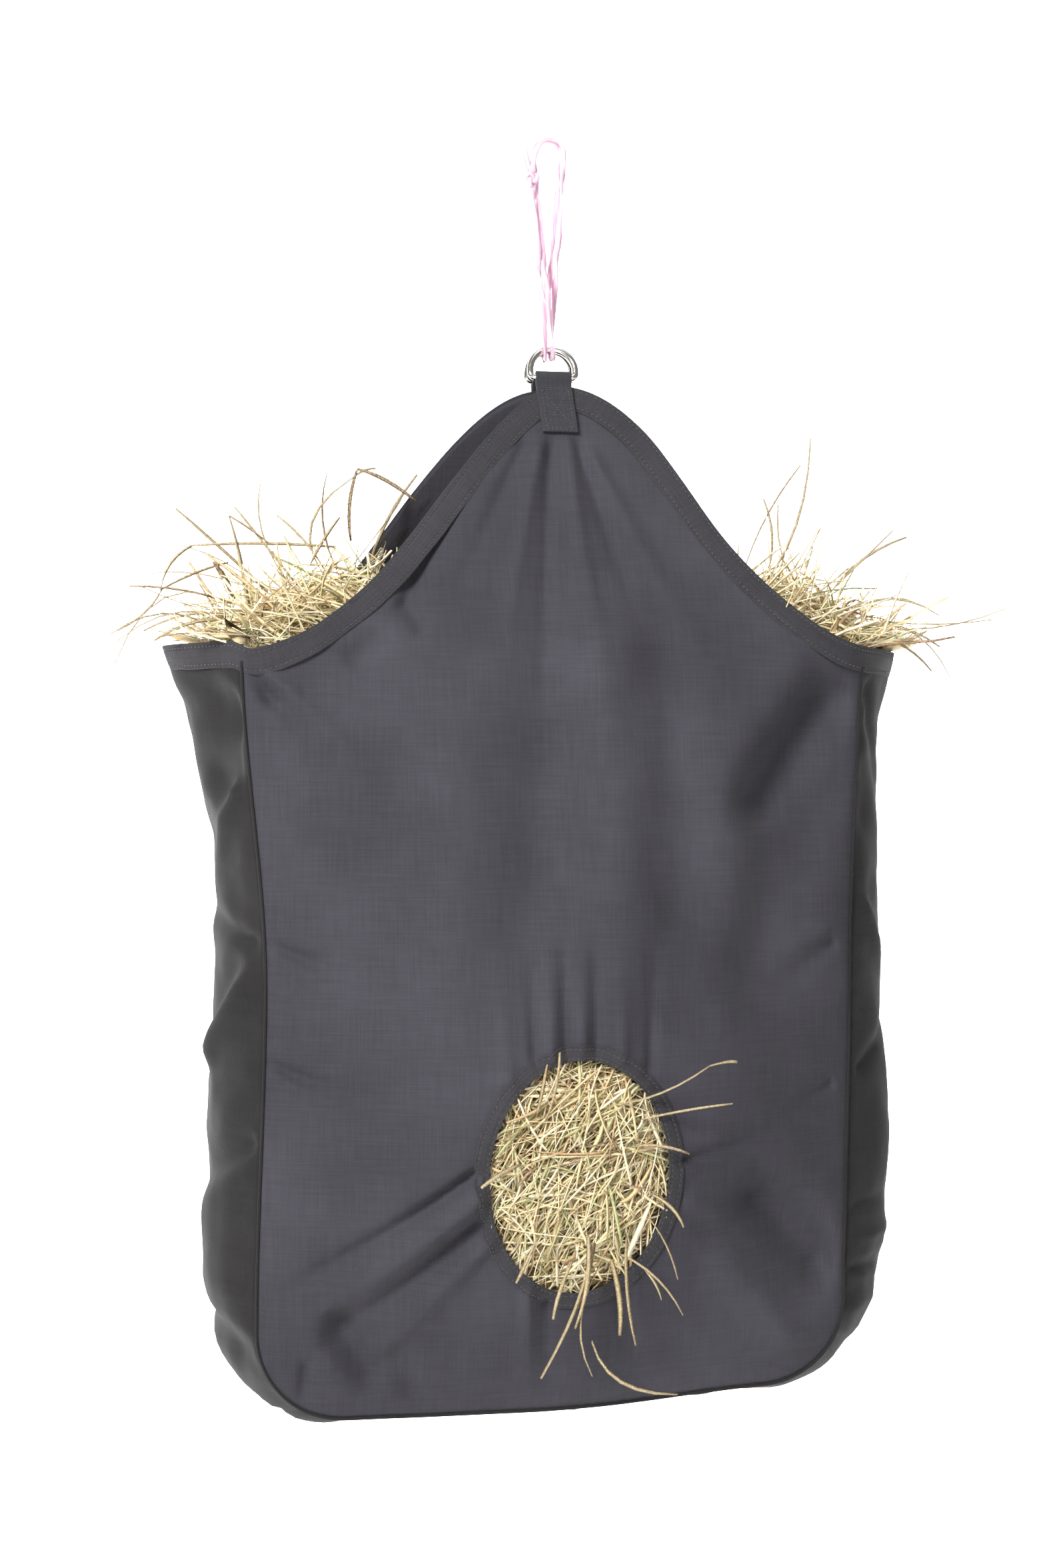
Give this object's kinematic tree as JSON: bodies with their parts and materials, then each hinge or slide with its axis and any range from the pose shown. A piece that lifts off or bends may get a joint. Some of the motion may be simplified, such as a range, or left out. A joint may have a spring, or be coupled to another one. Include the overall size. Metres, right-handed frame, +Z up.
{
  "type": "hay bag",
  "caption": "Hanging fabric hay bag with a round feed hole, an open bound mouth, webbing tabs with D-rings and a twine hanging loop, filled with hay.",
  "frame": {"origin": "top of the twine loop, where it lies over the hook that the bag hangs from", "axes": "+Z up, -Y towards the front with the feed hole, +X to the right seen from the front"},
  "size_m": [0.6416, 0.2593, 0.8862],
  "materials": {
    "cloth": "woven matte",
    "binding": "twill tape",
    "webbing": "flat woven webbing",
    "thread": "sewing thread",
    "ring_metal": "nickel plated, polished",
    "twine": "flat fibrillated polypropylene",
    "hay": "dry matte"
  },
  "bodies": {
    "twine": {"twine_loop": "twine", "twine_knot": "twine", "twine_tails": "twine"},
    "front_ring": {"front_d_ring": "ring_metal"},
    "bag": {"front_panel": "cloth", "back_panel": "cloth", "gusset_left": "cloth", "gusset_right": "cloth", "feed_hole_binding": "binding", "feed_hole_stitching": "thread", "mouth_binding_front": "binding", "mouth_binding_back": "binding", "mouth_binding_left": "binding", "mouth_binding_right": "binding", "front_ring_tab": "webbing", "back_ring_tab": "webbing", "front_tab_stitching": "thread", "back_tab_stitching": "thread", "hay_packed": "hay", "hay_heap_left": "hay", "hay_heap_right": "hay", "hay_stalks_left": "hay", "hay_stalks_right": "hay", "hay_stalks_feed_hole": "hay"},
    "back_ring": {"back_d_ring": "ring_metal"}
  },
  "joints": [
    {"name": "ring_swing", "type": "hinge", "parent": "twine", "child": "front_ring", "pos_m": [0, -0.00275, -0.1462], "axis": [1, 0, 0], "range_deg": [-20, 20]},
    {"name": "bag_swing", "type": "hinge", "parent": "front_ring", "child": "bag", "pos_m": [0, -0.0085, -0.16661], "axis": [1, 0, 0], "range_deg": [-6.6, 6.6]},
    {"name": "back_ring_swing", "type": "hinge", "parent": "bag", "child": "back_ring", "pos_m": [0, 0.0085, -0.16661], "axis": [1, 0, 0], "range_deg": [-6.6, 6.6]}
  ],
  "couplings": [
    {"joint": "bag_swing", "follows": "ring_swing", "ratio": -0.3235},
    {"joint": "back_ring_swing", "follows": "ring_swing", "ratio": 0.3235}
  ]
}
